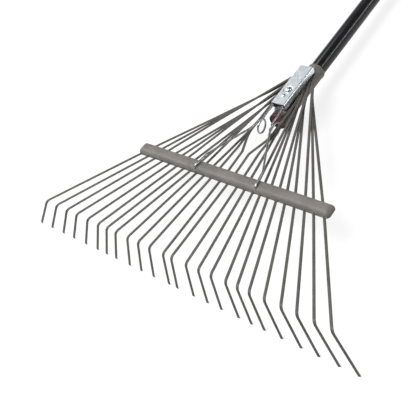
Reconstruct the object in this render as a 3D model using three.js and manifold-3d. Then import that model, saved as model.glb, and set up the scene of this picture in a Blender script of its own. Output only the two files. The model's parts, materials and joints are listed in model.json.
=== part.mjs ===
// Leaf rake: twenty-four spring steel tines in a fan, gathered in stacks of three between two clamp
// plates under a channel, on the flattened crown of the ferrule of a tubular handle. A slotted
// crossbar ties the tines and a sprung wire brace holds them down. Millimetres. The rake lies on
// the ground, on its tips and on the end of its handle.
//
// The head is drawn level: X runs across the fan, Y up the handle with 0 at the ferrule's lower
// end, and Z up from the handle's axis. The finished group is then tipped until it lies at rest.
import * as THREE from "three";
import { mergeVertices } from "three/addons/utils/BufferGeometryUtils.js";
import Module from "manifold-3d";

const wasm = await Module();
wasm.setup();

// Driving dimensions
const gap = 0.3; // clearance between pieces that touch
const beyond = 1; // how far a cutting tool reaches past what it cuts

const handleRadius = 12.7;
const handleWall = 1;
const handleLength = 1270;
const handleInset = 12; // the tube's lower end, measured from the ferrule's
const capRadius = 14.4;
const capLength = 46;
const capEnd = 3.2; // thickness of the cap's closed end
const capRound = 3; // the rounding of its outer edge
const capLip = 1;

const ferruleLength = 118;
const ferruleRadius = 13.8;
const ferruleWall = 0.8;
const ferruleEdge = 0.4;
const collarRadius = 14.4;
const collarLength = 6;
const crownFlat = 9.9; // the ferrule's crown is pressed down to this height under the clamp
const crownEnds = [8.2, 100];
const plugLength = 5.4;
const plugRecess = 1.5;
const plugRim = 4;
const plugDish = 1.4;

const plateThickness = 1;
const channelEnds = [13, 98];
const channelHalfWidth = 11.8;
const channelTop = 27;
const channelSheet = 1.5;
const channelBend = 2.2;

const largeRivet = { y: 44, shank: 3.4, head: 5, dome: 2.6, tail: 4.6 };
const smallRivet = { y: 30, shank: 2.3, head: 3.2, dome: 1.8, tail: 3.3 };

const tinesPerSide = 12;
const tinesPerStack = 3;
const tineWidth = 4;
const tineThickness = 1.2;
const layerPitch = tineThickness + gap;
// A stack is straight from its root to the place where its tines part. [across, y], from the middle.
const roots = [[2.2, 87], [6.5, 87], [10.7, 87], [10.5, 96.5]];
const gathers = [[18, 30], [23, 28], [31.5, 31], [34.7, 50]];
// The innermost stack's tines part further down, at a bend of their own or at two.
const forks = [[[18.5, -45], [6.3, -80]], [[20, -47], [19, -72]], [[20.2, -22]]];
const levelY = -36; // the outer stacks' tines are clear of one another here and can come down
const forkLevelY = -83; // the innermost stack's here
const tineHeightAtBar = 13;
// Each tine's distance from the middle at the crossbar's lower skirt, and at its elbow.
const barReach = [7, 23.5, 37, 51, 63, 76, 90, 104, 119, 135, 149, 165];
const elbowReach = [7.5, 33.5, 55, 76, 100, 118.5, 137, 160, 184.5, 207, 231, 254.5];
const elbowY = -275;
const elbowHeight = 14;
const tipLength = 55.4;
const tipFold = THREE.MathUtils.degToRad(73);
const foldRadius = 7;
const foldSteps = 5;

const barY = -127;
const barHalfWidth = 10.8;
const barHalfLength = 171;
const barBottom = 10.6;
const barTop = 19.6;
const barSheet = 1;
const barShoulder = 8.5; // radius from each skirt and each end into the crown
const barCorner = 6; // the upright corners, seen from above

const wireRadius = 1.5;
const wireHeight = 22.4; // in the channel
const coilRadius = 11;
const coilY = -21.3;
const coilTop = 20;
const coilReach = 9.9;
const coilLead = 4.5; // the sideways shift over one turn
const coilSteps = 16;
const braceKnee = { x: 17, y: -38.5, z: 20.4 };
const braceBend = { x: 50, y: -106, z: 22.4 };
const braceCrest = { x: 52, y: -118, z: 22.3 };
const hook = { x: 54.5, y: -133, top: 20.6, end: 13.9 };
const hookHoleStretch = 1.5; // the hook's hole is this much longer than it is wide

// The tines lie on the lower plate, the upper plate lies on them, and the channel stands on that.
const lowerPlate = crownFlat + gap;
const layerHeight = (layer) => {
  return lowerPlate + plateThickness + gap + tineThickness / 2 + layer * layerPitch;
};
const upperPlate = layerHeight(tinesPerStack - 1) + tineThickness / 2 + gap;
const channelBottom = upperPlate + plateThickness + gap;

// Solids and cuts

function toSolid(geometry) {
  const bare = geometry.index ? geometry.toNonIndexed() : geometry.clone();
  bare.deleteAttribute("normal");
  bare.deleteAttribute("uv");
  const merged = mergeVertices(bare, 1e-4);
  return new wasm.Manifold(
    new wasm.Mesh({
      numProp: 3,
      vertProperties: merged.attributes.position.array,
      triVerts: new Uint32Array(merged.index.array),
    }),
  );
}

function toGeometry(solid) {
  const { vertProperties, triVerts } = solid.getMesh();
  const geometry = new THREE.BufferGeometry();
  geometry.setAttribute("position", new THREE.BufferAttribute(vertProperties, 3));
  geometry.setIndex(new THREE.BufferAttribute(triVerts, 1));
  const flat = geometry.toNonIndexed();
  flat.computeVertexNormals();
  return flat;
}

function cut(geometry, ...tools) {
  const solid = tools.reduce((left, tool) => left.subtract(toSolid(tool)), toSolid(geometry));
  return toGeometry(solid);
}

// A box from one corner to the opposite one, each given as [x, y, z].
function box(low, high) {
  const size = high.map((end, axis) => end - low[axis]);
  const centre = high.map((end, axis) => (end + low[axis]) / 2);
  return new THREE.BoxGeometry(...size).translate(...centre);
}

// A round upright pin, from one height to another.
function uprightPin(radius, x, y, low, high) {
  const pin = new THREE.CylinderGeometry(radius, radius, high - low, 24);
  return pin.rotateX(Math.PI / 2).translate(x, y, (low + high) / 2);
}

// A body of revolution about the handle's axis. The profile is a list of [radius, y] pairs.
function turned(profile, sides = 48) {
  return new THREE.LatheGeometry(
    profile.map(([radius, y]) => new THREE.Vector2(radius, y)),
    sides,
  );
}

// A flat shape drawn out square to its plane, half the depth to each side of it.
function drawnOut(shape, depth, curveSegments) {
  const body = new THREE.ExtrudeGeometry(shape, { depth, bevelEnabled: false, curveSegments });
  return body.translate(0, 0, -depth / 2);
}

// A body through a row of rings with the same number of points, closed by a flat face at each end.
function lofted(rings) {
  const count = rings[0].length;
  const faces = [];
  const quad = (a, b, c, d) => faces.push(a, b, c, a, c, d);
  for (let i = 0; i + 1 < rings.length; i++) {
    for (let j = 0; j < count; j++) {
      const next = (j + 1) % count;
      quad(rings[i][j], rings[i][next], rings[i + 1][next], rings[i + 1][j]);
    }
  }
  const last = rings.length - 1;
  for (let j = 1; j + 1 < count; j++) {
    faces.push(rings[0][0], rings[0][j + 1], rings[0][j]);
    faces.push(rings[last][0], rings[last][j], rings[last][j + 1]);
  }
  const geometry = new THREE.BufferGeometry().setFromPoints(faces);
  geometry.computeVertexNormals();
  return geometry;
}

// Handle, ferrule and plug

// A tube about the handle's axis, drilled for the rivets, whose crown is pressed to a flat over part
// of its length. The profile gives the outside from end to end as [radius, y] pairs.
function pressedTube(profile, bore, wall, flat, [from, to]) {
  const reach = ferruleRadius + beyond;
  const press = (height, start, end) => box([-reach, start, height], [reach, end, reach]);
  const low = profile[0][1];
  const high = profile.at(-1)[1];
  const outside = turned([[0, low], ...profile, [0, high]]);
  const inside = turned([
    [0, low - beyond],
    [bore, low - beyond],
    [bore, high + beyond],
    [0, high + beyond],
  ]);
  return cut(
    cut(outside, press(flat, from, to)),
    cut(inside, press(flat - wall, from - wall, to + wall)),
    ...rivetHoles(-reach, reach),
  );
}

function handleTube() {
  const high = handleInset + handleLength;
  const flat = crownFlat - ferruleWall - gap;
  const flatEnds = [handleInset - 2 * handleWall, crownEnds[1] + ferruleWall + gap];
  return pressedTube(
    [[handleRadius, handleInset], [handleRadius, high]],
    handleRadius - handleWall,
    handleWall,
    flat,
    flatEnds,
  );
}

function handleEndCap() {
  const end = handleInset + handleLength + gap;
  const mouth = end - capLength;
  const top = end + capEnd;
  const bore = handleRadius + gap;
  return turned([
    [bore, mouth],
    [capRadius - capLip, mouth],
    [capRadius, mouth + capLip],
    [capRadius, top - capRound],
    [capRadius - 0.3 * capRound, top - 0.3 * capRound],
    [capRadius - capRound, top],
    [0, top],
    [0, end],
    [bore, end],
    [bore, mouth],
  ]);
}

function ferrule() {
  const collarFoot = ferruleLength - collarLength;
  const outside = [
    [ferruleRadius - ferruleEdge, 0],
    [ferruleRadius, ferruleEdge],
    [ferruleRadius, collarFoot],
    [collarRadius, collarFoot + collarLength / 3],
    [collarRadius, ferruleLength - ferruleEdge],
    [collarRadius - ferruleEdge, ferruleLength],
  ];
  return pressedTube(outside, ferruleRadius - ferruleWall, ferruleWall, crownFlat, crownEnds);
}

function ferrulePlug() {
  const face = plugRecess;
  const back = face + plugLength;
  const floor = face + plugDish;
  const radius = ferruleRadius - ferruleWall - gap;
  return turned([
    [0, floor],
    [radius - plugRim - ferruleEdge, floor],
    [radius - plugRim, face],
    [radius - ferruleEdge, face],
    [radius, face + ferruleEdge],
    [radius, back],
    [0, back],
    [0, floor],
  ]);
}

// Clamp channel, its plates and its rivets

function rivetHoles(low, high) {
  return [largeRivet, smallRivet].map(({ y, shank }) => {
    return uprightPin(shank + gap, 0, y, low, high);
  });
}

function clampPlate(low) {
  const high = low + plateThickness;
  const plate = box(
    [-channelHalfWidth, channelEnds[0], low],
    [channelHalfWidth, channelEnds[1], high],
  );
  return cut(plate, ...rivetHoles(low - beyond, high + beyond));
}

function clampChannel() {
  const half = channelHalfWidth;
  const inner = half - channelSheet;
  const bendX = half - channelBend;
  const bendZ = channelTop - channelBend;
  const innerBend = channelBend - channelSheet;
  const profile = new THREE.Shape();
  profile.moveTo(-half, channelBottom);
  profile.lineTo(-inner, channelBottom);
  profile.absarc(-bendX, bendZ, innerBend, Math.PI, Math.PI / 2, true);
  profile.absarc(bendX, bendZ, innerBend, Math.PI / 2, 0, true);
  profile.lineTo(inner, channelBottom);
  profile.lineTo(half, channelBottom);
  profile.absarc(bendX, bendZ, channelBend, 0, Math.PI / 2, false);
  profile.absarc(-bendX, bendZ, channelBend, Math.PI / 2, Math.PI, false);
  profile.closePath();
  const [low, high] = channelEnds;
  const rail = drawnOut(profile, high - low, 5);
  rail.rotateX(Math.PI / 2).translate(0, (low + high) / 2, 0);
  return cut(rail, ...rivetHoles(channelBottom, channelTop + beyond));
}

// Points up a dome, from its rim to its middle. Its height may be negative, for one that hangs.
function domed(rim, seat, height) {
  const steps = 4;
  const points = [];
  for (let i = 0; i <= steps; i++) {
    const angle = (i / steps) * (Math.PI / 2);
    points.push([rim * Math.cos(angle), seat + height * Math.sin(angle)]);
  }
  return points;
}

// A rivet runs from its domed head on the channel, between the inner stacks of tines and through
// the plates, the ferrule and the tube, to a lower dome under the ferrule.
function rivet({ y, shank, head, dome, tail }) {
  const seat = channelTop + gap;
  const foot = -ferruleRadius - gap;
  const tailDome = 0.7 * dome;
  const profile = [
    ...domed(tail, foot, -tailDome).reverse(),
    [shank, foot],
    [shank, seat],
    ...domed(head, seat, dome),
  ];
  return turned(profile, 28).rotateX(Math.PI / 2).translate(0, y, 0);
}

// Crossbar

// An upright section with rounded shoulders, down to the height low.
function archSection(half, top, shoulder, low) {
  const section = new THREE.Shape();
  section.moveTo(-half, low);
  section.lineTo(half, low);
  section.absarc(half - shoulder, top - shoulder, shoulder, 0, Math.PI / 2, false);
  section.absarc(shoulder - half, top - shoulder, shoulder, Math.PI / 2, Math.PI, false);
  section.closePath();
  return section;
}

function roundedPlan(long, wide, corner) {
  const plan = new THREE.Shape();
  plan.absarc(long - corner, wide - corner, corner, 0, Math.PI / 2, false);
  plan.absarc(corner - long, wide - corner, corner, Math.PI / 2, Math.PI, false);
  plan.absarc(corner - long, corner - wide, corner, Math.PI, 1.5 * Math.PI, false);
  plan.absarc(long - corner, corner - wide, corner, 1.5 * Math.PI, 2 * Math.PI, false);
  plan.closePath();
  return plan;
}

// The filled body of the crossbar, drawn in from its outside by an inset: shoulders along both
// skirts and both ends, and upright corners.
function barBody(inset, low) {
  const long = barHalfLength - inset;
  const wide = barHalfWidth - inset;
  const top = barTop - inset;
  const shoulder = barShoulder - inset;
  const lengthwise = drawnOut(archSection(wide, top, shoulder, low), 2 * long + beyond, 6);
  lengthwise.rotateX(Math.PI / 2).rotateZ(Math.PI / 2);
  const crosswise = drawnOut(archSection(long, top, shoulder, low), 2 * wide + beyond, 6);
  crosswise.rotateX(Math.PI / 2);
  const upright = drawnOut(roundedPlan(long, wide, barCorner - inset), 2 * top, 5);
  upright.translate(0, 0, top);
  return toSolid(lengthwise).intersect(toSolid(crosswise)).intersect(toSolid(upright));
}

// The brace's hook comes down on a slant, so its hole is longer towards the handle.
function hookHole(side) {
  const radius = wireRadius + gap;
  const hole = uprightPin(radius, 0, 0, (barBottom + barTop) / 2, barTop + beyond);
  hole.scale(1, hookHoleStretch, 1);
  return hole.translate(side * hook.x, hook.y + radius * (hookHoleStretch - 1), 0);
}

function crossbar() {
  let bar = barBody(0, barBottom).subtract(barBody(barSheet, barBottom - beyond));
  bar = bar.translate([0, barY, 0]);
  for (const tine of tines) {
    bar = bar.subtract(toSolid(tineSlot(tine)));
  }
  for (const side of [-1, 1]) {
    bar = bar.subtract(toSolid(hookHole(side)));
  }
  return toGeometry(bar);
}

// Tines

// The distance across at a height y on the straight line from a point to the bar's lower skirt.
function reachAt([x, y], atBar, wanted) {
  const share = (y - wanted) / (y - (barY - barHalfWidth));
  return x + (atBar - x) * share;
}

// The course of one tine, seen from above, before its tip is folded down. In each stack the
// innermost tine lies on top and the outermost at the bottom.
function tineCourse(number, side) {
  const stack = Math.floor((number - 1) / tinesPerStack);
  const place = (number - 1) % tinesPerStack;
  const high = layerHeight(tinesPerStack - 1 - place);
  const atBar = barReach[number - 1];
  const bends = [roots[stack], gathers[stack]];
  if (stack === 0) {
    bends.push(...forks[place]);
  }
  const clearY = stack === 0 ? forkLevelY : levelY;
  bends.push([reachAt(bends.at(-1), atBar, clearY), clearY]);
  const course = bends.map(([x, y]) => [x, y, high]);
  const upperSkirt = barY + barHalfWidth;
  course.push([reachAt(bends.at(-1), atBar, upperSkirt), upperSkirt, tineHeightAtBar]);
  course.push([atBar, barY - barHalfWidth, tineHeightAtBar]);
  course.push([elbowReach[number - 1], elbowY, elbowHeight]);
  return course.map(([x, y, z]) => new THREE.Vector3(side * x, y, z));
}

// Folds the part of the flat fan beyond the elbow line down, round a line parallel to the crossbar.
function folded(point) {
  const start = elbowY + foldRadius * Math.tan(tipFold / 2);
  const past = start - point.y;
  if (past <= 0) {
    return point.clone();
  }
  const arc = Math.min(past, foldRadius * tipFold);
  const angle = arc / foldRadius;
  const straight = past - arc;
  const centreZ = elbowHeight - foldRadius;
  const radius = point.z - centreZ;
  return new THREE.Vector3(
    point.x,
    start - radius * Math.sin(angle) - straight * Math.cos(angle),
    centreZ + radius * Math.cos(angle) - straight * Math.sin(angle),
  );
}

function tineStrip(course) {
  const elbow = course.at(-1);
  const before = course.at(-2);
  const slope = (elbow.x - before.x) / (elbow.y - before.y);
  const foldStart = foldRadius * Math.tan(tipFold / 2);
  const foldArc = foldRadius * tipFold;
  const pastBar = (y) => new THREE.Vector3(elbow.x + slope * (y - elbowY), y, elbowHeight);
  const centreline = course.slice(0, -1);
  for (let i = 0; i <= foldSteps; i++) {
    centreline.push(pastBar(elbowY + foldStart - (i / foldSteps) * foldArc));
  }
  centreline.push(pastBar(elbowY - tipLength + 2 * foldStart - foldArc));
  const rings = centreline.map((point, i) => {
    const ahead = centreline[Math.min(i + 1, centreline.length - 1)];
    const behind = centreline[Math.max(i - 1, 0)];
    const into = new THREE.Vector2(point.x - behind.x, point.y - behind.y).normalize();
    const out = new THREE.Vector2(ahead.x - point.x, ahead.y - point.y).normalize();
    const along = into.clone().add(out).normalize();
    const mitre = 1 / Math.max(along.dot(into), along.dot(out));
    const side = new THREE.Vector3(-along.y, along.x, 0).multiplyScalar((tineWidth / 2) * mitre);
    const corners = [[-1, -1], [1, -1], [1, 1], [-1, 1]];
    return corners.map(([across, up]) => {
      const corner = point.clone().addScaledVector(side, across);
      corner.z += (up * tineThickness) / 2;
      return folded(corner);
    });
  });
  return lofted(rings);
}

// The clearance hole that a tine needs through both skirts of the crossbar.
function tineSlot(tine) {
  const [entry, exit] = [tine.course.at(-3), tine.course.at(-2)];
  const along = new THREE.Vector3().subVectors(exit, entry);
  const length = along.length() + barHalfWidth;
  const slot = new THREE.BoxGeometry(tineWidth + 2 * gap, length, tineThickness + 2 * gap);
  slot.rotateZ(Math.atan2(-along.x, along.y));
  const centre = new THREE.Vector3().addVectors(entry, exit).multiplyScalar(0.5);
  return slot.translate(centre.x, centre.y, centre.z);
}

const tines = [];
for (const side of [-1, 1]) {
  for (let number = 1; number <= tinesPerSide; number++) {
    const place = side < 0 ? tinesPerSide + 1 - number : tinesPerSide + number;
    tines.push({ place, course: tineCourse(number, side) });
  }
}

// Spring brace

// Half of the wire, from the hairpin round the large rivet to the hook in the crossbar.
function braceHalf() {
  const points = [];
  const through = (x, y, z) => points.push(new THREE.Vector3(x, y, z));
  const hairpin = largeRivet.shank + 2 * gap + wireRadius + 1;
  for (let i = 0; i <= 3; i++) {
    const angle = (i / 4) * (Math.PI / 2);
    through(hairpin * Math.sin(angle), largeRivet.y + hairpin * Math.cos(angle), wireHeight);
  }
  const exitX = channelHalfWidth - channelSheet - wireRadius - gap;
  through(hairpin, largeRivet.y - 4, wireHeight);
  through((hairpin + exitX) / 2, largeRivet.y - 16, wireHeight);
  through(exitX, channelEnds[0], wireHeight);
  through(coilReach, coilY + 1.3 * coilRadius, coilTop + 1);
  for (let i = 0; i <= coilSteps; i++) {
    const turn = i / coilSteps;
    const angle = turn * 2 * Math.PI;
    through(
      coilReach + coilLead * turn,
      coilY - coilRadius * Math.sin(angle),
      coilTop - coilRadius + coilRadius * Math.cos(angle),
    );
  }
  through(braceKnee.x, braceKnee.y, braceKnee.z);
  const knee = points.at(-1);
  const bend = new THREE.Vector3(braceBend.x, braceBend.y, braceBend.z);
  for (const share of [0.1, 0.5, 0.92, 1]) {
    points.push(knee.clone().lerp(bend, share));
  }
  through(braceCrest.x, braceCrest.y, braceCrest.z);
  through(hook.x - 0.7, hook.y + 4.5, braceCrest.z);
  through(hook.x, hook.y + 0.4, hook.top);
  through(hook.x, hook.y, hook.top - 2 * wireRadius);
  through(hook.x, hook.y, hook.end);
  return points;
}

function springBrace() {
  const right = braceHalf();
  const left = right.slice(1).map((point) => new THREE.Vector3(-point.x, point.y, point.z));
  const wire = new THREE.CatmullRomCurve3([...left.reverse(), ...right], false, "centripetal");
  const section = new THREE.Shape().absarc(0, 0, wireRadius, 0, 2 * Math.PI, false);
  return new THREE.ExtrudeGeometry(section, {
    steps: 280,
    curveSegments: 4,
    extrudePath: wire,
  });
}

// Assembly

const painted = (color) => new THREE.MeshStandardMaterial({ color, roughness: 0.45, metalness: 0.3 });
const plastic = (color) => new THREE.MeshStandardMaterial({ color, roughness: 0.5, metalness: 0 });
const plated = (color) => new THREE.MeshStandardMaterial({ color, roughness: 0.2, metalness: 1 });
const finish = {
  blackEnamel: new THREE.MeshStandardMaterial({ color: 0x111112, roughness: 0.22, metalness: 0.1 }),
  blackPlastic: plastic(0x161616),
  redPlastic: plastic(0x7a1220),
  taupePaint: painted(0x696660),
  tinePaint: painted(0x504d48),
  zinc: plated(0xbac4ca),
  brightWire: plated(0xd2d2d4),
};

const rake = new THREE.Group();

function add(name, geometry, material) {
  const mesh = new THREE.Mesh(geometry, material);
  mesh.name = name;
  rake.add(mesh);
}

add("handle_tube", handleTube(), finish.blackEnamel);
add("handle_end_cap", handleEndCap(), finish.blackPlastic);
add("ferrule", ferrule(), finish.taupePaint);
add("ferrule_plug", ferrulePlug(), finish.redPlastic);
add("clamp_plate_lower", clampPlate(lowerPlate), finish.taupePaint);
add("clamp_plate_upper", clampPlate(upperPlate), finish.taupePaint);
add("clamp_channel", clampChannel(), finish.zinc);
add("clamp_rivet_large", rivet(largeRivet), finish.zinc);
add("clamp_rivet_small", rivet(smallRivet), finish.zinc);
add("crossbar", crossbar(), finish.taupePaint);
add("spring_brace", springBrace(), finish.brightWire);
for (const { place, course } of tines) {
  add("tine_" + String(place).padStart(2, "0"), tineStrip(course), finish.tinePaint);
}

// At rest the cap's edge and the tips touch the ground.
const capEdgeY = handleInset + handleLength + gap + capEnd - capRound;
const tipY = elbowY - tipLength * Math.cos(tipFold);
const tipZ = elbowHeight - tipLength * Math.sin(tipFold);
rake.rotation.x = -Math.atan2(-capRadius - tipZ, capEdgeY - tipY);
rake.updateMatrixWorld(true);
const extent = new THREE.Box3().setFromObject(rake, true);
const middle = extent.getCenter(new THREE.Vector3());
rake.position.set(-middle.x, -middle.y, -extent.min.z);

const part = new THREE.Group();
part.add(rake);
export default part;
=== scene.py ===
"""Looks for the leaf rake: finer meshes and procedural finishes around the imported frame.

Every piece is drawn in the head's own frame, in metres, as the CAD is: X across the fan, Y up the
handle with 0 at the ferrule's lower end, and Z up from the handle's axis. HEAD places that frame.
"""

import json
import math

import bmesh
import bpy
from mathutils import Matrix, Vector


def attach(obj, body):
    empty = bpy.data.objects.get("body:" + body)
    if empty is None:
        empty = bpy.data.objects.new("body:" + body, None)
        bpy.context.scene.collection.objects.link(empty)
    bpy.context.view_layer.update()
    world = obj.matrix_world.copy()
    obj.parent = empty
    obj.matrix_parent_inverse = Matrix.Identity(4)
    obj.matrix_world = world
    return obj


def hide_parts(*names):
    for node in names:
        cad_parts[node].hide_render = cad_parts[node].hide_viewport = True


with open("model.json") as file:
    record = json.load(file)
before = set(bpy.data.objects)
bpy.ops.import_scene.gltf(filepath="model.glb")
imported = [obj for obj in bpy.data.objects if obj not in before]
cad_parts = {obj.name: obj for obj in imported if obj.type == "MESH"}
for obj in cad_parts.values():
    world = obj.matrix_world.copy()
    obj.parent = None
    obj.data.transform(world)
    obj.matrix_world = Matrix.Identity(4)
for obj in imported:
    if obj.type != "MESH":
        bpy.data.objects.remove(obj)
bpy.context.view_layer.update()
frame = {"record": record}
scene = bpy.context.scene

# The head's frame, from the mount on the flat end of the handle's cap
CAP_TOP = 1.2855
mount = frame["record"]["mounts"][0]
up_handle = Vector(mount["axis"]).normalized()
across = Vector((1, 0, 0))
outward = across.cross(up_handle)
HEAD = Matrix((across, up_handle, outward)).transposed().to_4x4()
HEAD.translation = Vector(mount["pos_m"]) - CAP_TOP * up_handle

# Driving dimensions
GAP = 0.0003
SHEET_EDGE = 0.0003
BROKEN_EDGE = 0.0002
FINE_STEP = 0.0001

HANDLE_RADIUS = 0.0127
HANDLE_WALL = 0.001
HANDLE_LOW = 0.012
HANDLE_HIGH = 1.282
CAP_RADIUS = 0.0144
CAP_LENGTH = 0.046
CAP_MOUTH_CHAMFER = 0.0004
CAP_MOUTH_ROUND = 0.0008
CAP_END_ROUND = 0.003
CAP_GROOVES = 4
CAP_FIRST_GROOVE = 0.006
CAP_GROOVE_PITCH = 0.004
# A groove's profile, as (depth, distance along the cap)
CAP_GROOVE = ((0, 0), (0.0002, 0.0003), (0.0005, 0.0006), (0.0005, 0.0012), (0.0002, 0.0015), (0, 0.0018))

FERRULE_LENGTH = 0.118
FERRULE_RADIUS = 0.0138
FERRULE_WALL = 0.0008
COLLAR_RADIUS = 0.0144
COLLAR_LENGTH = 0.006
COLLAR_RISE = 0.0014
CROWN_FLAT = 0.0099
CROWN_ENDS = (0.0082, 0.100)
CROWN_EASE = 0.006
PLUG_LENGTH = 0.0054
PLUG_RECESS = 0.0015
PLUG_RIM = 0.0042
PLUG_DISH = 0.0014

PLATE_THICKNESS = 0.001
PLATE_CORNER = 0.0012
CHANNEL_ENDS = (0.013, 0.098)
CHANNEL_HALF_WIDTH = 0.0118
CHANNEL_TOP = 0.027
CHANNEL_SHEET = 0.0015
CHANNEL_BEND = 0.0022
CHANNEL_CORNER = 0.0025
DISH_RADIUS = 0.009
DISH_DEPTH = 0.0004
DISH_SLOPE = 0.3

LARGE_RIVET = {"y": 0.044, "shank": 0.0034, "head": 0.005, "dome": 0.0026, "tail": 0.0046}
SMALL_RIVET = {"y": 0.030, "shank": 0.0023, "head": 0.0032, "dome": 0.0018, "tail": 0.0033}
TAIL_DOME = 0.7

TINES_PER_SIDE = 12
TINES_PER_STACK = 3
TINE_WIDTH = 0.004
TINE_THICKNESS = 0.0012
TINE_CORNER = 0.00032
TINE_BEND = 0.012
LAYER_PITCH = TINE_THICKNESS + GAP
ROOTS = ((0.0022, 0.087), (0.0065, 0.087), (0.0107, 0.087), (0.0105, 0.0965))
GATHERS = ((0.018, 0.030), (0.023, 0.028), (0.0315, 0.031), (0.0347, 0.050))
FORKS = (((0.0185, -0.045), (0.0063, -0.080)), ((0.020, -0.047), (0.019, -0.072)), ((0.0202, -0.022),))
LEVEL_Y = -0.036
FORK_LEVEL_Y = -0.083
TINE_HEIGHT_AT_BAR = 0.013
BAR_REACH = (0.007, 0.0235, 0.037, 0.051, 0.063, 0.076, 0.090, 0.104, 0.119, 0.135, 0.149, 0.165)
ELBOW_REACH = (0.0075, 0.0335, 0.055, 0.076, 0.100, 0.1185, 0.137, 0.160, 0.1845, 0.207, 0.231, 0.2545)
ELBOW_Y = -0.275
ELBOW_HEIGHT = 0.014
TIP_LENGTH = 0.0554
TIP_FOLD = math.radians(73)
FOLD_RADIUS = 0.007

BAR_Y = -0.127
BAR_HALF_WIDTH = 0.0108
BAR_HALF_LENGTH = 0.171
BAR_BOTTOM = 0.0106
BAR_TOP = 0.0196
BAR_SHEET = 0.001
BAR_SHOULDER = 0.0085
BAR_CORNER = 0.006
BAR_LEAST_CORNER = 0.0012
SLOT_CLEARANCE = 3 * GAP
SLOT_BEYOND = 0.012
HOOK_HOLE_DEPTH = 0.009

WIRE_RADIUS = 0.0015
WIRE_HEIGHT = 0.0224
COIL_RADIUS = 0.011
COIL_Y = -0.0213
COIL_TOP = 0.020
COIL_REACH = 0.0099
COIL_LEAD = 0.0045
COIL_APPROACH = 1.3
COIL_EASE = 0.001
HAIRPIN_PLAY = 0.001
HAIRPIN_STRAIGHT = 0.004
HAIRPIN_SPREAD = 0.016
BRACE_KNEE = Vector((0.017, -0.0385, 0.0204))
BRACE_BEND = Vector((0.050, -0.106, 0.0224))
BRACE_CREST = Vector((0.052, -0.118, 0.0223))
ARM_SHARES = (0.1, 0.5, 0.92, 1)
HOOK = {"x": 0.0545, "y": -0.133, "top": 0.0206, "end": 0.0139}
HOOK_START = Vector((-0.0007, 0.0045))
HOOK_EASE = 0.0004
HOOK_HOLE_STRETCH = 1.5

# How finely curved things are drawn, and the angle at which two faces meet in a sharp edge
TUBE_SIDES = 128
MOULDED_SIDES = 96
RIVET_SIDES = 48
WIRE_SIDES = 24
HOLE_SIDES = 24
CHANNEL_ROWS = 120
CHANNEL_COLUMNS = 16
FOLD_STEPS = 14
SHOULDER_STEPS = 10
COIL_STEPS = 16
CURVE_STEPS = 10
CREASE = math.radians(38)
ON_AXIS = 1e-7

# The camera stands this far from the head's origin, in the head's frame, and looks this way.
CAMERA_PLACE = Vector((0.5521, -0.5481, 0.7078))
CAMERA_RIGHT = Vector((0.766, 0.564, -0.308))
CAMERA_AHEAD = Vector((-0.572, 0.380, -0.727))
FOCAL_LENGTH = 59.71
SENSOR_WIDTH = 36

# The studio: a pale sweep at the horizon, a dim room above it, and soft boxes, each with its
# direction, its half height and half width as sines of angles, its soft edge and its radiance.
# The floor shines by itself for the most part, so the rake hardly shades it.
SWEEP = 0.9
SWEEP_FADE = (0.07, 0.2)
ROOM = 0.06
ROOM_TINT = (0.98, 0.99, 1.0, 1)
FLOOR_REACH = 60
FLOOR_GLOW = 0.82
SOFTBOXES = (
    ((-0.44, -0.20, 0.875), 0.32, 0.34, 0.07, 12.5),
    ((-0.80, 0.37, 0.46), 0.26, 0.50, 0.12, 0.9),
    ((0.85, 0.37, 0.38), 0.06, 0.50, 0.03, 11.0),
)


def layer_height(layer):
    """The height of the middle of a tine in a layer of a stack, counted from the lowest."""
    return LOWER_PLATE + PLATE_THICKNESS + GAP + TINE_THICKNESS / 2 + layer * LAYER_PITCH


LOWER_PLATE = CROWN_FLAT + GAP
UPPER_PLATE = layer_height(TINES_PER_STACK - 1) + TINE_THICKNESS / 2 + GAP
CHANNEL_BOTTOM = UPPER_PLATE + PLATE_THICKNESS + GAP


# Mesh building

def shaded(mesh):
    """Shades a mesh smooth, but sharp where its faces meet at more than the crease angle."""
    mesh.shade_smooth()
    mesh.set_sharp_from_angle(angle=CREASE)


def piece(name, vertices, faces, material, nodes, edge):
    """A finished mesh in place of the CAD nodes named. Edge says how worn each vertex is, from 0 to 1."""
    mesh = bpy.data.meshes.new(name)
    mesh.from_pydata([tuple(v) for v in vertices], [], faces)
    mesh.validate()
    shaded(mesh)
    wear = mesh.attributes.new("edge", "FLOAT", "POINT")
    wear.data.foreach_set("value", edge)
    mesh.materials.append(material)
    made = bpy.data.objects.new(name, mesh)
    scene.collection.objects.link(made)
    made.matrix_world = HEAD
    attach(made, "root")
    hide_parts(*nodes)
    return made


def loft(rings, edge):
    """Vertices, faces and edge values through rings of points. Each end is closed by one face."""
    count = len(rings[0])
    vertices = [point for ring in rings for point in ring]
    values = edge * len(rings)
    faces = []
    last = (len(rings) - 1) * count
    for a in range(0, last, count):
        b = a + count
        for j in range(count):
            k = (j + 1) % count
            faces.append((a + j, a + k, b + k, b + j))
    faces.append(tuple(range(count - 1, -1, -1)))
    faces.append(tuple(range(last, last + count)))
    return vertices, faces, values


def turned(profile, sides, upright=False):
    """A body of revolution about Y, or about Z if upright. Profile points are (radius, height, edge)."""
    vertices = []
    values = []
    rows = []
    for radius, height, wear in profile:
        if radius < ON_AXIS:
            rows.append([len(vertices)] * sides)
            vertices.append(Vector((0, height, 0)))
            values.append(wear)
            continue
        rows.append([len(vertices) + j for j in range(sides)])
        for j in range(sides):
            angle = math.tau * j / sides
            vertices.append(Vector((radius * math.sin(angle), height, radius * math.cos(angle))))
            values.append(wear)
    faces = []
    for i in range(len(rows)):
        low, high = rows[i], rows[(i + 1) % len(rows)]
        for j in range(sides):
            k = (j + 1) % sides
            corners = dict.fromkeys((low[j], low[k], high[k], high[j]))
            if len(corners) > 2:
                faces.append(tuple(corners))
    if upright:
        vertices = [Vector((v.x, -v.z, v.y)) for v in vertices]
    return vertices, faces, values


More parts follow.
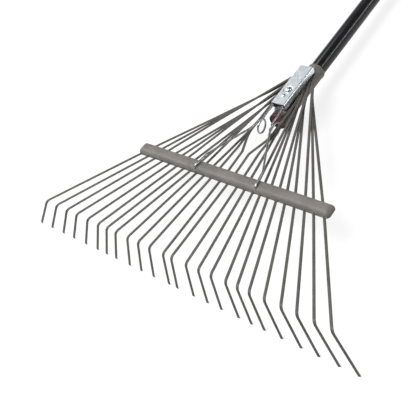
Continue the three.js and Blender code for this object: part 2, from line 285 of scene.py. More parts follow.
def arc(centre_x, centre_y, radius, start, end, steps):
    """Points along an arc, in degrees, both ends included."""
    angles = [math.radians(start + (end - start) * i / steps) for i in range(steps + 1)]
    return [(centre_x + radius * math.cos(a), centre_y + radius * math.sin(a)) for a in angles]


def eased(points, radius, steps=6, most=0.45):
    """A polyline with each inner corner rounded, over radius or at most a share of each side."""
    smooth = [points[0]]
    for before, corner, after in zip(points, points[1:], points[2:]):
        into = before - corner
        out = after - corner
        reach = min(radius, into.length * most, out.length * most)
        start = corner + into.normalized() * reach
        end = corner + out.normalized() * reach
        for i in range(steps + 1):
            t = i / steps
            smooth.append(start * (1 - t) ** 2 + corner * 2 * t * (1 - t) + end * t * t)
    smooth.append(points[-1])
    return smooth


# Materials: noise scales are waves per metre, bump distances are metres, colours are linear

def node(material, kind, inputs=None, **settings):
    """A shader node with its settings and inputs. An input that is a socket is linked."""
    tree = material.node_tree
    made = tree.nodes.new("ShaderNode" + kind)
    for key, value in settings.items():
        setattr(made, key, value)
    for key, value in (inputs or {}).items():
        if isinstance(value, bpy.types.NodeSocket):
            tree.links.new(value, made.inputs[key])
        else:
            made.inputs[key].default_value = value
    return made


def blank(name):
    """A material with its Principled shader, and object coordinates in metres."""
    material = bpy.data.materials.new(name)
    material.use_nodes = True
    shader = material.node_tree.nodes["Principled BSDF"]
    place = node(material, "TexCoord").outputs["Object"]
    return material, shader, place


def stretched(material, place, scale):
    """Coordinates scaled by axis. An axis under 1 draws a noise out along itself."""
    return node(material, "Mapping", {"Vector": place, "Scale": scale}).outputs["Vector"]


def noise(material, place, scale, detail, roughness=0.55):
    """A grey noise from 0 to 1."""
    inputs = {"Vector": place, "Scale": scale, "Detail": detail, "Roughness": roughness}
    return node(material, "TexNoise", inputs).outputs["Fac"]


def spread_out(material, value, low, high, to_low=0.0, to_high=1.0):
    """Maps low..high to to_low..to_high, smoothly and clamped."""
    inputs = {"Value": value, "From Min": low, "From Max": high, "To Min": to_low, "To Max": to_high}
    return node(material, "MapRange", inputs, interpolation_type="SMOOTHSTEP").outputs["Result"]


def maths(material, operation, a, b=0.0):
    """The result of one scalar operation on a and b."""
    return node(material, "Math", {0: a, 1: b}, operation=operation).outputs["Value"]


def blended(material, share, a, b):
    """The colour a, turning to b as share goes from 0 to 1."""
    made = node(material, "Mix", {"Factor": share}, data_type="RGBA")
    for socket, colour in ((made.inputs[6], a), (made.inputs[7], b)):
        if isinstance(colour, bpy.types.NodeSocket):
            material.node_tree.links.new(colour, socket)
        else:
            socket.default_value = (*colour, 1)
    return made.outputs[2]


def bumped(material, height, distance, strength, normal=None):
    """A normal tilted by a height, on top of another bump if one is given."""
    inputs = {"Height": height, "Distance": distance, "Strength": strength}
    if normal is not None:
        inputs["Normal"] = normal
    return node(material, "Bump", inputs).outputs["Normal"]


def connect(material, shader, **sockets):
    """Sets or links a shader's inputs by name. A tuple of three is a colour."""
    for name, value in sockets.items():
        socket = shader.inputs[name.replace("_", " ")]
        if isinstance(value, bpy.types.NodeSocket):
            material.node_tree.links.new(value, socket)
        elif isinstance(value, tuple):
            socket.default_value = (*value, 1)
        else:
            socket.default_value = value


def edge_wear(material, place, low, high):
    """Where the finish has rubbed off along edges, broken up by a noise."""
    edge = node(material, "Attribute", attribute_name="edge").outputs["Fac"]
    rub = maths(material, "MULTIPLY", edge, noise(material, place, scale=900, detail=4))
    return spread_out(material, rub, low, high)


BARE_STEEL = (0.42, 0.41, 0.40)
# Painted shade under the channel's lower end: its dark colour, the span along Y over which it fades in
# towards the ferrule's lower end, and its greatest share.
PAINTED_SHADE = (0.03, 0.028, 0.025)
PAINTED_SHADE_SPAN = (CHANNEL_ENDS[0] + 0.006, 0.001)
PAINTED_SHADE_SHARE = 0.85


def painted(name, colour, pale, dark, roughness, gloss, shade_under_clamp=False):
    """Satin paint on sheet steel: cloudy tone, orange peel, rubbed edges, and, if asked, painted shade
    darkening it towards the ferrule's lower end.
    """
    material, shader, place = blank(name)
    cloud = spread_out(material, noise(material, place, scale=38, detail=5), 0.35, 0.65)
    grain = noise(material, place, scale=1400, detail=2)
    tone = blended(material, cloud, dark, colour)
    tone = blended(material, spread_out(material, grain, 0.45, 0.75, 0, 0.35), tone, pale)
    worn = edge_wear(material, place, 0.42, 0.62)
    tone = blended(material, worn, tone, BARE_STEEL)
    if shade_under_clamp:
        # Painted shade: the paint turns darker towards the ferrule's lower end, below the overhang of the
        # channel and plates.
        height = node(material, "SeparateXYZ", {"Vector": place}).outputs["Y"]
        low = spread_out(material, height, *PAINTED_SHADE_SPAN, 0, PAINTED_SHADE_SHARE)
        tone = blended(material, low, tone, PAINTED_SHADE)
    blotch = noise(material, place, scale=160, detail=4)
    rough = spread_out(material, blotch, 0.3, 0.7, roughness - 0.06, roughness + 0.07)
    peel = bumped(material, noise(material, place, scale=650, detail=2), distance=0.00007, strength=0.5)
    fine = bumped(material, grain, distance=0.00003, strength=0.4, normal=peel)
    connect(material, shader, Base_Color=tone, Roughness=rough, Normal=fine,
            Metallic=maths(material, "MULTIPLY", worn, 0.9), Specular_IOR_Level=gloss)
    return material


def handle_enamel():
    """Gloss black enamel on drawn tube: faint lengthwise drawing lines, dust and hairline scuffs."""
    material, shader, place = blank("handle_enamel")
    lines = noise(material, stretched(material, place, (1, 0.02, 1)), scale=900, detail=3)
    cloud = noise(material, place, scale=60, detail=4)
    scuff = noise(material, stretched(material, place, (1, 0.12, 1)), scale=420, detail=6, roughness=0.7)
    black, dusty, scuffed = (0.006, 0.006, 0.0065), (0.011, 0.011, 0.012), (0.05, 0.05, 0.052)
    tone = blended(material, spread_out(material, cloud, 0.3, 0.7), black, dusty)
    tone = blended(material, spread_out(material, scuff, 0.66, 0.8, 0, 0.5), tone, scuffed)
    rough = spread_out(material, scuff, 0.3, 0.75, 0.14, 0.26)
    bump = bumped(material, noise(material, place, scale=420, detail=2), distance=0.00004, strength=0.35)
    bump = bumped(material, lines, distance=0.00002, strength=0.3, normal=bump)
    connect(material, shader, Base_Color=tone, Roughness=rough, Normal=bump, Specular_IOR_Level=0.24)
    return material


def moulded(name, colour, pale, roughness):
    """Moulded plastic with a fine spark-eroded grain."""
    material, shader, place = blank(name)
    grain = noise(material, place, scale=2200, detail=3)
    cloud = spread_out(material, noise(material, place, scale=120, detail=4), 0.35, 0.7)
    tone = blended(material, cloud, colour, pale)
    rough = spread_out(material, grain, 0.3, 0.7, roughness - 0.08, roughness + 0.1)
    connect(material, shader, Base_Color=tone, Roughness=rough, Specular_IOR_Level=0.25,
            Normal=bumped(material, grain, distance=0.00004, strength=0.4))
    return material


def zinc_plate():
    """Bright zinc plating: bluish, with crystal spangle, rolling lines and dulled patches."""
    material, shader, place = blank("zinc_plate")
    warp, cell_scale = 0.0016, 520.0
    jitter = node(material, "TexNoise", {"Vector": place, "Scale": 900.0, "Detail": 3.0}).outputs["Color"]
    warped = node(material, "Mix", {"Factor": warp, 4: place, 5: jitter}, data_type="VECTOR").outputs[1]
    cells = node(material, "TexVoronoi", {"Vector": warped, "Scale": cell_scale}).outputs["Color"]
    spangle = node(material, "SeparateColor", {"Color": cells})
    lines = noise(material, stretched(material, place, (1, 0.03, 1)), scale=2600, detail=4)
    dull = spread_out(material, noise(material, place, scale=150, detail=5), 0.42, 0.68)
    deep, bright = (0.62, 0.67, 0.70), (0.72, 0.76, 0.78)
    dulled, rubbed = (0.66, 0.66, 0.64), (0.82, 0.82, 0.81)
    tone = blended(material, spangle.outputs["Red"], deep, bright)
    tone = blended(material, maths(material, "MULTIPLY", dull, 0.4), tone, dulled)
    worn = edge_wear(material, place, 0.4, 0.6)
    tone = blended(material, worn, tone, rubbed)
    rough = spread_out(material, spangle.outputs["Green"], 0, 1, 0.32, 0.42)
    rough = maths(material, "ADD", rough, maths(material, "MULTIPLY", dull, 0.08))
    bump = bumped(material, lines, distance=0.00002, strength=0.35)
    bump = bumped(material, spangle.outputs["Blue"], distance=0.000012, strength=0.2, normal=bump)
    connect(material, shader, Base_Color=tone, Roughness=rough, Normal=bump, Metallic=0.96)
    return material


def rivet_zinc():
    """Zinc on a headed rivet: grainy, brighter where the edge of the head is rubbed."""
    material, shader, place = blank("rivet_zinc")
    grain = noise(material, place, scale=1500, detail=4)
    deep, bright, rubbed = (0.52, 0.54, 0.55), (0.74, 0.76, 0.77), (0.85, 0.85, 0.84)
    tone = blended(material, spread_out(material, grain, 0.35, 0.7), deep, bright)
    worn = edge_wear(material, place, 0.35, 0.55)
    tone = blended(material, worn, tone, rubbed)
    rough = spread_out(material, grain, 0.3, 0.7, 0.2, 0.34)
    connect(material, shader, Base_Color=tone, Roughness=rough, Metallic=0.96,
            Normal=bumped(material, grain, distance=0.00004, strength=0.5))
    return material


def bright_wire():
    """Drawn spring wire with a bright plating, a fine grain and small dull spots."""
    material, shader, place = blank("bright_wire")
    spots = spread_out(material, noise(material, place, scale=700, detail=5), 0.55, 0.75)
    bright, dulled = (0.32, 0.32, 0.33), (0.22, 0.22, 0.22)
    tone = blended(material, spots, bright, dulled)
    rough = spread_out(material, noise(material, place, scale=260, detail=4), 0.3, 0.75, 0.26, 0.36)
    grain = noise(material, place, scale=1800, detail=2)
    connect(material, shader, Base_Color=tone, Roughness=rough, Metallic=1.0,
            Normal=bumped(material, grain, distance=0.00002, strength=0.3))
    return material


TAUPE = painted("taupe_paint", (0.136, 0.128, 0.114), pale=(0.20, 0.189, 0.17),
                dark=(0.104, 0.098, 0.087), roughness=0.5, gloss=0.2)
# The ferrule and the clamp plates take a darker copy of the crossbar's paint, with painted shade at their
# lower ends.
FERRULE_PAINT = painted("ferrule_paint", (0.115, 0.108, 0.097), pale=(0.165, 0.156, 0.14),
                        dark=(0.093, 0.087, 0.078), roughness=0.5, gloss=0.25, shade_under_clamp=True)
TINE_PAINT = painted("tine_paint", (0.062, 0.058, 0.050), pale=(0.100, 0.094, 0.083),
                     dark=(0.046, 0.043, 0.037), roughness=0.5, gloss=0.25)
ENAMEL = handle_enamel()
CAP_PLASTIC = moulded("cap_plastic", (0.012, 0.012, 0.013), pale=(0.022, 0.022, 0.023), roughness=0.5)
PLUG_PLASTIC = moulded("plug_plastic", (0.085, 0.003, 0.009), pale=(0.12, 0.005, 0.014), roughness=0.5)
ZINC = zinc_plate()
RIVET = rivet_zinc()
CHROME = bright_wire()


# Handle, cap, ferrule and plug

def pressed(vertices, radius, wall, flat, ends):
    """The vertices of a turned tube, its crown pressed to a flat between two ends and eased back to round."""
    rise = (radius - flat) / CROWN_EASE
    shaped = []
    for v in vertices:
        inside = math.hypot(v.x, v.z) < radius - wall / 2
        past = max(ends[0] - v.y, v.y - ends[1], 0)
        limit = flat - (wall if inside else 0) + past * rise
        shaped.append(Vector((v.x, v.y, min(v.z, limit))))
    return shaped


def eased_heights(ends, shares=(0, 0.35, 0.7, 1)):
    """Heights along a tube at which its pressed crown needs rows of vertices."""
    low, high = ends
    below = [low - CROWN_EASE * share for share in reversed(shares)]
    return below + [high + CROWN_EASE * share for share in shares]


def handle_tube():
    """The handle, its crown pressed flat inside the ferrule and both its ends broken."""
    flat = CROWN_FLAT - FERRULE_WALL - GAP
    ends = (0, CROWN_ENDS[1] + FERRULE_WALL + GAP)
    bore = HANDLE_RADIUS - HANDLE_WALL
    rim = HANDLE_RADIUS - BROKEN_EDGE
    low_edge, high_edge = HANDLE_LOW + BROKEN_EDGE, HANDLE_HIGH - BROKEN_EDGE
    rows = [y for y in eased_heights(ends) if y > low_edge]
    profile = [(bore, y, 0) for y in (HANDLE_HIGH, *reversed(rows), HANDLE_LOW)]
    profile += [(rim, HANDLE_LOW, 1), (HANDLE_RADIUS, low_edge, 0)]
    profile += [(HANDLE_RADIUS, y, 0) for y in rows]
    profile += [(HANDLE_RADIUS, high_edge, 0), (rim, HANDLE_HIGH, 1)]
    vertices, faces, edge = turned(profile, TUBE_SIDES)
    vertices = pressed(vertices, HANDLE_RADIUS, HANDLE_WALL, flat, ends)
    piece("handle_tube_enamelled", vertices, faces, ENAMEL, ["handle_tube"], edge)


def handle_end_cap():
    """The cap: a cup over the tube's upper end, with a rounded mouth, grip grooves and a rounded end."""
    bore = HANDLE_RADIUS + GAP
    mouth = HANDLE_HIGH + GAP - CAP_LENGTH
    end = HANDLE_HIGH + GAP
    lip = CAP_RADIUS - CAP_MOUTH_ROUND
    profile = [(bore, end, 0), (bore, mouth + CAP_MOUTH_CHAMFER, 0)]
    profile += [(bore + CAP_MOUTH_CHAMFER, mouth, 0), (lip, mouth, 0)]
    profile += [(x, y, 0) for x, y in arc(lip, mouth + CAP_MOUTH_ROUND, CAP_MOUTH_ROUND, -90, 0, 4)]
    for groove in range(CAP_GROOVES):
        start = mouth + CAP_FIRST_GROOVE + groove * CAP_GROOVE_PITCH
        profile += [(CAP_RADIUS - depth, start + along, 0) for depth, along in CAP_GROOVE]
    rounding = arc(CAP_RADIUS - CAP_END_ROUND, CAP_TOP - CAP_END_ROUND, CAP_END_ROUND, 0, 90, 8)
    profile += [(x, y, 0) for x, y in rounding]
    profile += [(0, CAP_TOP, 0), (0, end, 0)]
    vertices, faces, edge = turned(profile, MOULDED_SIDES)
    piece("handle_end_cap_moulded", vertices, faces, CAP_PLASTIC, ["handle_end_cap"], edge)


def ferrule():
    """The ferrule: a tube with a pressed crown, a broken lower edge and a raised collar at its upper end."""
    bore = FERRULE_RADIUS - FERRULE_WALL
    foot = FERRULE_LENGTH - COLLAR_LENGTH
    top = FERRULE_LENGTH
    rows = [y for y in eased_heights(CROWN_ENDS) if 12 * FINE_STEP < y < foot]
    profile = [(bore, top - 3 * FINE_STEP, 0)]
    profile += [(bore, y, 0) for y in reversed(rows)]
    profile += [(bore, 2 * FINE_STEP, 0), (bore + 2 * FINE_STEP, 0, 1)]
    profile += [(FERRULE_RADIUS - 3 * FINE_STEP, 0, 1), (FERRULE_RADIUS - FINE_STEP, FINE_STEP, 1)]
    profile += [(FERRULE_RADIUS, 4 * FINE_STEP, 0)]
    profile += [(FERRULE_RADIUS, y, 0) for y in rows]
    profile += [(FERRULE_RADIUS, foot, 0), (COLLAR_RADIUS - FINE_STEP, foot + COLLAR_RISE, 0)]
    profile += [(COLLAR_RADIUS, foot + COLLAR_RISE + 6 * FINE_STEP, 0.6)]
    profile += [(COLLAR_RADIUS, top - 5 * FINE_STEP, 0)]
    profile += [(COLLAR_RADIUS - 2 * FINE_STEP, top - FINE_STEP, 1), (COLLAR_RADIUS - 4 * FINE_STEP, top, 1)]
    profile += [(bore + 3 * FINE_STEP, top, 0)]
    vertices, faces, edge = turned(profile, TUBE_SIDES)
    vertices = pressed(vertices, FERRULE_RADIUS, FERRULE_WALL, CROWN_FLAT, CROWN_ENDS)
    piece("ferrule_pressed", vertices, faces, FERRULE_PAINT, ["ferrule"], edge)


def ferrule_plug():
    """The plug: a disc with a shallow dish inside a rim, set a little way into the ferrule's lower end."""
    radius = FERRULE_RADIUS - FERRULE_WALL - GAP
    rim = radius - PLUG_RIM
    face = PLUG_RECESS
    dish = face + PLUG_DISH
    back = face + PLUG_LENGTH
    profile = [(0, dish, 0), (rim - 6 * FINE_STEP, dish, 0), (rim - 2 * FINE_STEP, dish - 3 * FINE_STEP, 0)]
    profile += [(rim, face + 3 * FINE_STEP, 0), (rim + 3 * FINE_STEP, face, 0)]
    profile += [(radius - 8 * FINE_STEP, face, 0), (radius - 2 * FINE_STEP, face + 2 * FINE_STEP, 0)]
    profile += [(radius, face + 8 * FINE_STEP, 0), (radius, back, 0), (0, back, 0)]
    vertices, faces, edge = turned(profile, MOULDED_SIDES)
    piece("ferrule_plug_moulded", vertices, faces, PLUG_PLASTIC, ["ferrule_plug"], edge)


# Clamp plates, channel and rivets

# The corners of a plan, as (side across, side along, the angle at which its arc starts)
PLAN_CORNERS = ((1, 1, 0), (-1, 1, 90), (-1, -1, 180), (1, -1, 270))


def clamp_plate(low, name, node_name):
    """A flat plate with a broken edge and small rounded corners."""
    first, last = CHANNEL_ENDS
    middle = (first + last) / 2
    far = PLATE_THICKNESS - BROKEN_EDGE
    rings = []
    for inset, up in ((BROKEN_EDGE, 0), (0, BROKEN_EDGE), (0, far), (BROKEN_EDGE, PLATE_THICKNESS)):
        x = CHANNEL_HALF_WIDTH - inset - PLATE_CORNER
        y = (last - first) / 2 - inset - PLATE_CORNER
        ring = []
        for sx, sy, start in PLAN_CORNERS:
            ring += arc(sx * x, middle + sy * y, PLATE_CORNER, start, start + 90, 4)
        rings.append([Vector((px, py, low + up)) for px, py in ring])
    vertices, faces, edge = loft(rings, [1] * len(rings[0]))
    piece(name, vertices, faces, FERRULE_PAINT, [node_name], edge)


def dished(point):
    """Sinks the channel's top round the large rivet into a shallow pressed dish."""
    away = math.hypot(point.x, point.y - LARGE_RIVET["y"])
    share = min(max((DISH_RADIUS - away) / (DISH_SLOPE * DISH_RADIUS), 0), 1)
    share = share * share * (3 - 2 * share)
    return Vector((point.x, point.y, point.z - DISH_DEPTH * share))


def clamp_channel():
    """The channel: a bent sheet, its flanges down with rounded corners, dished round the large rivet."""
    half = CHANNEL_HALF_WIDTH
    inner = half - CHANNEL_SHEET
    inner_bend = CHANNEL_BEND - CHANNEL_SHEET
    bend_z = CHANNEL_TOP - CHANNEL_BEND
    bend_x = half - CHANNEL_BEND
    lip = SHEET_EDGE
    across_top = [bend_x * (1 - i / CHANNEL_COLUMNS) for i in range(1, 2 * CHANNEL_COLUMNS)]
    outline = [(-half, CHANNEL_BOTTOM + lip), (-half + lip, CHANNEL_BOTTOM), (-inner - lip, CHANNEL_BOTTOM)]
    outline += [(-inner, CHANNEL_BOTTOM + lip)]
    outline += arc(-bend_x, bend_z, inner_bend, 180, 90, 5)
    outline += [(-x, bend_z + inner_bend) for x in across_top]
    outline += arc(bend_x, bend_z, inner_bend, 90, 0, 5)
    outline += [(inner, CHANNEL_BOTTOM + lip), (inner + lip, CHANNEL_BOTTOM), (half - lip, CHANNEL_BOTTOM)]
    outline += [(half, CHANNEL_BOTTOM + lip)]
    outline += arc(bend_x, bend_z, CHANNEL_BEND, 0, 90, 8)
    outline += [(x, CHANNEL_TOP) for x in across_top]
    outline += arc(-bend_x, bend_z, CHANNEL_BEND, 90, 180, 8)
    low, high = CHANNEL_ENDS
    rings = []
    for i in range(CHANNEL_ROWS + 1):
        y = high + (low - high) * i / CHANNEL_ROWS
        short = max(CHANNEL_CORNER - (y - low), CHANNEL_CORNER - (high - y), 0)
        rise = CHANNEL_CORNER - math.sqrt(max(CHANNEL_CORNER ** 2 - short ** 2, 0))
        ring = []
        for x, z in outline:
            z = max(z, CHANNEL_BOTTOM + rise) if z < bend_z - CHANNEL_CORNER else z
            point = Vector((x, y, z))
            ring.append(dished(point) if z > bend_z and abs(x) < bend_x else point)
        rings.append(ring)
    vertices, faces, edge = loft(rings, [0] * len(outline))
    piece("clamp_channel_plated", vertices, faces, ZINC, ["clamp_channel"], edge)


def rivet(name, spec, node_name):
    """A rivet standing on the channel's top: a domed head, a shank and a domed tail below the ferrule."""
    seat = CHANNEL_TOP + GAP
    foot = -FERRULE_RADIUS - GAP
    head, shank, dome, tail = spec["head"], spec["shank"], spec["dome"], spec["tail"]
    low_dome = dome * TAIL_DOME
    brim = seat + BROKEN_EDGE
    rise = dome - BROKEN_EDGE
    profile = []
    tail_steps = 8
    for i in range(tail_steps + 1):
        angle = math.pi / 2 * i / tail_steps
        profile.append((tail * math.sin(angle), foot - low_dome * math.cos(angle), 0))
    profile += [(shank, foot, 0), (shank, seat, 0), (head - BROKEN_EDGE, seat, 0), (head, brim, 1)]
    head_steps = 11
    for i in range(1, head_steps + 1):
        angle = math.pi / 2 * i / head_steps
        profile.append((head * math.cos(angle), brim + rise * math.sin(angle), 0))
    vertices, faces, edge = turned(profile, RIVET_SIDES, upright=True)
    vertices = [v + Vector((0, spec["y"], 0)) for v in vertices]
    piece(name, vertices, faces, RIVET, [node_name], edge)


# Tines

def reach_at(point, at_bar, y):
    """How far across a straight run from point to the bar's lower skirt is at a height y."""
    share = (point[1] - y) / (point[1] - (BAR_Y - BAR_HALF_WIDTH))
    return point[0] + (at_bar - point[0]) * share


def tine_course(number, side):
    """The tine's bends from root to elbow. The innermost tine of each stack lies on top."""
    stack, place = divmod(number - 1, TINES_PER_STACK)
    high = layer_height(TINES_PER_STACK - 1 - place)
    at_bar = BAR_REACH[number - 1]
    bends = [ROOTS[stack], GATHERS[stack]]
    if stack == 0:
        bends += FORKS[place]
    clear_y = FORK_LEVEL_Y if stack == 0 else LEVEL_Y
    bends.append((reach_at(bends[-1], at_bar, clear_y), clear_y))
    course = [(x, y, high) for x, y in bends]
    upper_skirt = BAR_Y + BAR_HALF_WIDTH
    course.append((reach_at(bends[-1], at_bar, upper_skirt), upper_skirt, TINE_HEIGHT_AT_BAR))
    course.append((at_bar, BAR_Y - BAR_HALF_WIDTH, TINE_HEIGHT_AT_BAR))
    course.append((ELBOW_REACH[number - 1], ELBOW_Y, ELBOW_HEIGHT))
    return [Vector((side * x, y, z)) for x, y, z in course]


FOLD_START = ELBOW_Y + FOLD_RADIUS * math.tan(TIP_FOLD / 2)
DEVELOPED_END = ELBOW_Y - TIP_LENGTH + 2 * FOLD_RADIUS * math.tan(TIP_FOLD / 2) - FOLD_RADIUS * TIP_FOLD


def folded(point):
    """Folds the flat fan down beyond the elbow line, round a line parallel to the crossbar."""
    beyond = FOLD_START - point.y
    if beyond <= 0:
        return point
    bend = min(beyond, FOLD_RADIUS * TIP_FOLD)
    angle = bend / FOLD_RADIUS
    straight = beyond - bend
    centre = ELBOW_HEIGHT - FOLD_RADIUS
    radius = point.z - centre
    y = FOLD_START - radius * math.sin(angle) - straight * math.cos(angle)
    z = centre + radius * math.cos(angle) - straight * math.sin(angle)
    return Vector((point.x, y, z))


def strip_section():
    """The flat wire's section, as (across, up, edge), with its rounded corners."""
    half = TINE_WIDTH / 2 - TINE_CORNER
    tall = TINE_THICKNESS / 2 - TINE_CORNER
    wear = (0, 0.6, 1, 0.6, 0)
    section = []
    for sx, sz, start in ((1, -1, -90), (1, 1, 0), (-1, 1, 90), (-1, -1, 180)):
        points = arc(sx * half, sz * tall, TINE_CORNER, start, start + 90, len(wear) - 1)
        section += [(x, z, value) for (x, z), value in zip(points, wear)]
    return section


def tine(number, side):
    """One tine: its section carried along its course, then folded down at the tip."""
    course = tine_course(number, side)
    elbow, before = course[-1], course[-2]
    slope = (elbow.x - before.x) / (elbow.y - before.y)

    def past_bar(y):
        return Vector((elbow.x + slope * (y - ELBOW_Y), y, ELBOW_HEIGHT))

    path = eased([*course[:-1], past_bar(FOLD_START)], TINE_BEND)
    for i in range(1, FOLD_STEPS + 1):
        path.append(past_bar(FOLD_START - FOLD_RADIUS * TIP_FOLD * i / FOLD_STEPS))
    path.append(past_bar(DEVELOPED_END))
    section = strip_section()
    rings = []
    for i, point in enumerate(path):
        along = path[min(i + 1, len(path) - 1)] - path[max(i - 1, 0)]
        along.z = 0
        along.normalize()
        sideways = Vector((-along.y, along.x, 0))
        rings.append([folded(point - sideways * x + Vector((0, 0, z))) for x, z, _ in section])
    vertices, faces, edge = loft(rings, [value for _, _, value in section])
    place = TINES_PER_SIDE + (number if side > 0 else 1 - number)
    label = f"{place:02d}"
    piece(f"tine_{label}_painted", vertices, faces, TINE_PAINT, [f"tine_{label}"], edge)


# Crossbar

def bar_ring(inset, z):
    """The bar's plan outline drawn in by inset, at a height z."""
    x = BAR_HALF_LENGTH - inset
    y = BAR_HALF_WIDTH - inset
    corner = max(BAR_CORNER - inset, BAR_LEAST_CORNER)
    ring = []
    for sx, sy, start in PLAN_CORNERS:
        points = arc(sx * (x - corner), sy * (y - corner), corner, start, start + 90, 8)
        ring += [Vector((px, py + BAR_Y, z)) for px, py in points]
    return ring


def bar_shell(sheet, low):
    """Rings from a skirt's lip at a height low to the edge of the crown, drawn in by the sheet."""
    shoulder = BAR_SHOULDER - sheet
    top = BAR_TOP - sheet
    rings = [bar_ring(sheet, low)]
    for i in range(SHOULDER_STEPS + 1):
        angle = math.pi / 2 * i / SHOULDER_STEPS
        inset = sheet + shoulder * (1 - math.cos(angle))
        rings.append(bar_ring(inset, top - shoulder * (1 - math.sin(angle))))
    return rings


def crossbar():
    """The crossbar: a pressed shell, with a slot for each tine in both skirts and a hole for each hook."""
    lip = SHEET_EDGE
    outer = [bar_ring(lip, BAR_BOTTOM), *bar_shell(0, BAR_BOTTOM + lip)]
    inner = [*reversed(bar_shell(BAR_SHEET, BAR_BOTTOM + lip)), bar_ring(BAR_SHEET - lip, BAR_BOTTOM)]
    rings = inner + outer
    vertices, faces, edge = loft(rings, [0] * len(rings[0]))
    bar = piece("crossbar_pressed", vertices, faces, TAUPE, ["crossbar"], edge)
    cutters = bmesh.new()
    for side in (-1, 1):
        for number in range(1, TINES_PER_SIDE + 1):
            entry, leave = tine_course(number, side)[-3:-1]
            along = leave - entry
            size = (TINE_WIDTH + SLOT_CLEARANCE, along.length + SLOT_BEYOND, TINE_THICKNESS + SLOT_CLEARANCE)
            turn = Matrix.Rotation(math.atan2(-along.x, along.y), 4, "Z")
            place = Matrix.Translation((entry + leave) / 2) @ turn @ Matrix.Diagonal((*size, 1))
            bmesh.ops.create_cube(cutters, size=1, matrix=place)
        hole_radius = WIRE_RADIUS + GAP
        hole_y = HOOK["y"] + hole_radius * (HOOK_HOLE_STRETCH - 1)
        stretch = Matrix.Diagonal((1, HOOK_HOLE_STRETCH, 1, 1))
        hole = Matrix.Translation((side * HOOK["x"], hole_y, BAR_TOP)) @ stretch
        bmesh.ops.create_cone(cutters, cap_ends=True, segments=HOLE_SIDES, radius1=hole_radius,
                              radius2=hole_radius, depth=HOOK_HOLE_DEPTH, matrix=hole)
    cutter_mesh = bpy.data.meshes.new("slots")
    cutters.to_mesh(cutter_mesh)
    cutters.free()
    cutter = bpy.data.objects.new("slots", cutter_mesh)
    scene.collection.objects.link(cutter)
    cutter.matrix_world = HEAD
    cut = bar.modifiers.new("slots", "BOOLEAN")
    cut.operation = "DIFFERENCE"
    cut.solver = "EXACT"
    cut.object = cutter
    bpy.context.view_layer.update()
    finished = bpy.data.meshes.new_from_object(bar.evaluated_get(bpy.context.evaluated_depsgraph_get()))
    bar.modifiers.clear()
    bar.data = finished
    finished.name = "crossbar_pressed"
    shaded(finished)
    bpy.data.objects.remove(cutter)


# Spring brace

def brace_points():
    """The right half of the wire's course, from the hairpin round the large rivet to the hook."""
    hairpin = LARGE_RIVET["shank"] + 2 * GAP + WIRE_RADIUS + HAIRPIN_PLAY
    y = LARGE_RIVET["y"]
    points = []
    quarter_steps = 4
    for i in range(quarter_steps):
        angle = math.pi / 2 * i / quarter_steps
        points.append(Vector((hairpin * math.sin(angle), y + hairpin * math.cos(angle), WIRE_HEIGHT)))
    points.append(Vector((hairpin, y - HAIRPIN_STRAIGHT, WIRE_HEIGHT)))
    leave_x = CHANNEL_HALF_WIDTH - CHANNEL_SHEET - WIRE_RADIUS - GAP
    points.append(Vector(((hairpin + leave_x) / 2, y - HAIRPIN_SPREAD, WIRE_HEIGHT)))
    points.append(Vector((leave_x, CHANNEL_ENDS[0], WIRE_HEIGHT)))
    points.append(Vector((COIL_REACH, COIL_Y + COIL_APPROACH * COIL_RADIUS, COIL_TOP + COIL_EASE)))
    for i in range(COIL_STEPS + 1):
        angle = math.tau * i / COIL_STEPS
        drop = COIL_RADIUS * (1 - math.cos(angle))
        across_coil = COIL_REACH + COIL_LEAD * i / COIL_STEPS
        points.append(Vector((across_coil, COIL_Y - COIL_RADIUS * math.sin(angle), COIL_TOP - drop)))
    points.append(BRACE_KNEE)
    for share in ARM_SHARES:
        points.append(BRACE_KNEE.lerp(BRACE_BEND, share))
    points.append(BRACE_CREST)
    x, y = HOOK["x"], HOOK["y"]
    points.append(Vector((x + HOOK_START.x, y + HOOK_START.y, BRACE_CREST.z)))
    points.append(Vector((x, y + HOOK_EASE, HOOK["top"])))
    points.append(Vector((x, y, HOOK["top"] - 2 * WIRE_RADIUS)))
    points.append(Vector((x, y, HOOK["end"])))
    return points


def smooth_curve(points, steps):
    """A centripetal Catmull-Rom curve through the points."""
    ends = [2 * points[0] - points[1], *points, 2 * points[-1] - points[-2]]
    curve = []
    for p0, p1, p2, p3 in zip(ends, ends[1:], ends[2:], ends[3:]):
        t1 = (p1 - p0).length ** 0.5
        t2 = t1 + (p2 - p1).length ** 0.5
        t3 = t2 + (p3 - p2).length ** 0.5
        for i in range(steps):
            t = t1 + (t2 - t1) * i / steps
            a1 = p0 * ((t1 - t) / t1) + p1 * (t / t1)
            a2 = p1 * ((t2 - t) / (t2 - t1)) + p2 * ((t - t1) / (t2 - t1))
            a3 = p2 * ((t3 - t) / (t3 - t2)) + p3 * ((t - t2) / (t3 - t2))
            b1 = a1 * ((t2 - t) / t2) + a2 * (t / t2)
            b2 = a2 * ((t3 - t) / (t3 - t1)) + a3 * ((t - t1) / (t3 - t1))
            curve.append(b1 * ((t2 - t) / (t2 - t1)) + b2 * ((t - t1) / (t2 - t1)))
    curve.append(points[-1])
    return curve


def wire_rings(path, radius, sides):
    """Rings round a path, carried along it without twist."""
    tangents = []
    for i in range(len(path)):
        tangents.append((path[min(i + 1, len(path) - 1)] - path[max(i - 1, 0)]).normalized())
    normal = tangents[0].orthogonal().normalized()
    rings = []
    for point, tangent in zip(path, tangents):
        normal = (normal - tangent * normal.dot(tangent)).normalized()
        other = tangent.cross(normal)
        ring = []
        for j in range(sides):
            angle = math.tau * j / sides
            ring.append(point + (normal * math.cos(angle) + other * math.sin(angle)) * radius)
        rings.append(ring)
    return rings


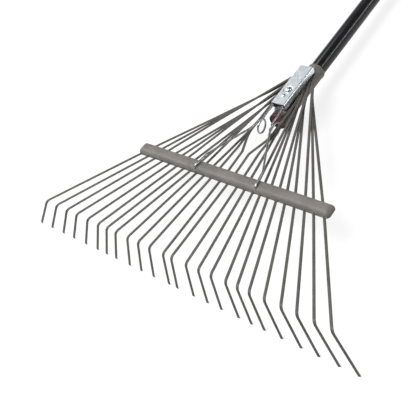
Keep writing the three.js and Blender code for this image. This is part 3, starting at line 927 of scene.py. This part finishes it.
def spring_brace():
    """The brace: one wire, its two halves mirror images."""
    right = brace_points()
    left = [Vector((-p.x, p.y, p.z)) for p in reversed(right[1:])]
    path = smooth_curve(left + right, CURVE_STEPS)
    rings = wire_rings(path, WIRE_RADIUS, WIRE_SIDES)
    vertices, faces, edge = loft(rings, [0] * WIRE_SIDES)
    piece("spring_brace_wire", vertices, faces, CHROME, ["spring_brace"], edge)


# Camera, light and floor

def camera():
    """The camera, placed and turned in the head's frame."""
    ahead = CAMERA_AHEAD.normalized()
    right = (CAMERA_RIGHT - ahead * CAMERA_RIGHT.dot(ahead)).normalized()
    turn = Matrix((right, right.cross(ahead), -ahead)).transposed().to_4x4()
    data = bpy.data.cameras.new("camera")
    data.lens = FOCAL_LENGTH
    data.sensor_width = SENSOR_WIDTH
    made = bpy.data.objects.new("camera", data)
    scene.collection.objects.link(made)
    made.matrix_world = HEAD @ Matrix.Translation(CAMERA_PLACE) @ turn
    scene.camera = made


def world_node(kind, inputs=None, **settings):
    """A shader node of the world's."""
    return node(scene.world, kind, inputs, **settings)


def softbox(centre, tall, wide, soft, radiance):
    """Light from a soft-edged rectangle of the sky, level along its width. Half sizes are sines of angles."""
    ahead = Vector(centre).normalized()
    level = Vector((0, 0, 1)).cross(ahead).normalized()
    upright = ahead.cross(level)
    direction = world_node("TexCoord").outputs["Generated"]

    def within(axis, half):
        reach = world_node("VectorMath", {0: direction, 1: axis}, operation="DOT_PRODUCT").outputs["Value"]
        return spread_out(scene.world, maths(scene.world, "ABSOLUTE", reach), half + soft, half - soft)

    facing = world_node("VectorMath", {0: direction, 1: ahead}, operation="DOT_PRODUCT").outputs["Value"]
    share = maths(scene.world, "MULTIPLY", within(upright, tall), within(level, wide))
    share = maths(scene.world, "MULTIPLY", share, maths(scene.world, "GREATER_THAN", facing, 0))
    return maths(scene.world, "MULTIPLY", share, radiance)


def studio():
    """A dim room with a pale sweep all round at the horizon, and the soft boxes."""
    world = bpy.data.worlds.new("studio")
    scene.world = world
    world.use_nodes = True
    direction = world_node("TexCoord").outputs["Generated"]
    height = world_node("SeparateXYZ", {"Vector": direction}).outputs["Z"]
    total = spread_out(world, height, *SWEEP_FADE, SWEEP, ROOM)
    for box in SOFTBOXES:
        total = maths(world, "ADD", total, softbox(*box))
    background = world.node_tree.nodes["Background"]
    background.inputs["Color"].default_value = ROOM_TINT
    world.node_tree.links.new(total, background.inputs["Strength"])
    scene.view_settings.view_transform = "Standard"


def floor():
    """A pale matt floor that shines by itself."""
    mesh = bpy.data.meshes.new("floor")
    corners = [(sx * FLOOR_REACH, sy * FLOOR_REACH, 0) for sx, sy in ((-1, -1), (1, -1), (1, 1), (-1, 1))]
    mesh.from_pydata(corners, [], [(0, 1, 2, 3)])
    material, shader, place = blank("floor")
    speck = noise(material, place, scale=30, detail=4)
    dark, pale = (0.15, 0.15, 0.15), (0.17, 0.17, 0.17)
    tone = blended(material, speck, dark, pale)
    connect(material, shader, Base_Color=tone, Roughness=0.9, Specular_IOR_Level=0.0,
            Emission_Color=(1.0, 1.0, 1.0), Emission_Strength=FLOOR_GLOW)
    mesh.materials.append(material)
    made = bpy.data.objects.new("floor", mesh)
    scene.collection.objects.link(made)


handle_tube()
handle_end_cap()
ferrule()
ferrule_plug()
clamp_plate(LOWER_PLATE, "clamp_plate_lower_painted", "clamp_plate_lower")
clamp_plate(UPPER_PLATE, "clamp_plate_upper_painted", "clamp_plate_upper")
clamp_channel()
rivet("clamp_rivet_large_head", LARGE_RIVET, "clamp_rivet_large")
rivet("clamp_rivet_small_head", SMALL_RIVET, "clamp_rivet_small")
for side in (-1, 1):
    for number in range(1, TINES_PER_SIDE + 1):
        tine(number, side)
crossbar()
spring_brace()
camera()
studio()
floor()
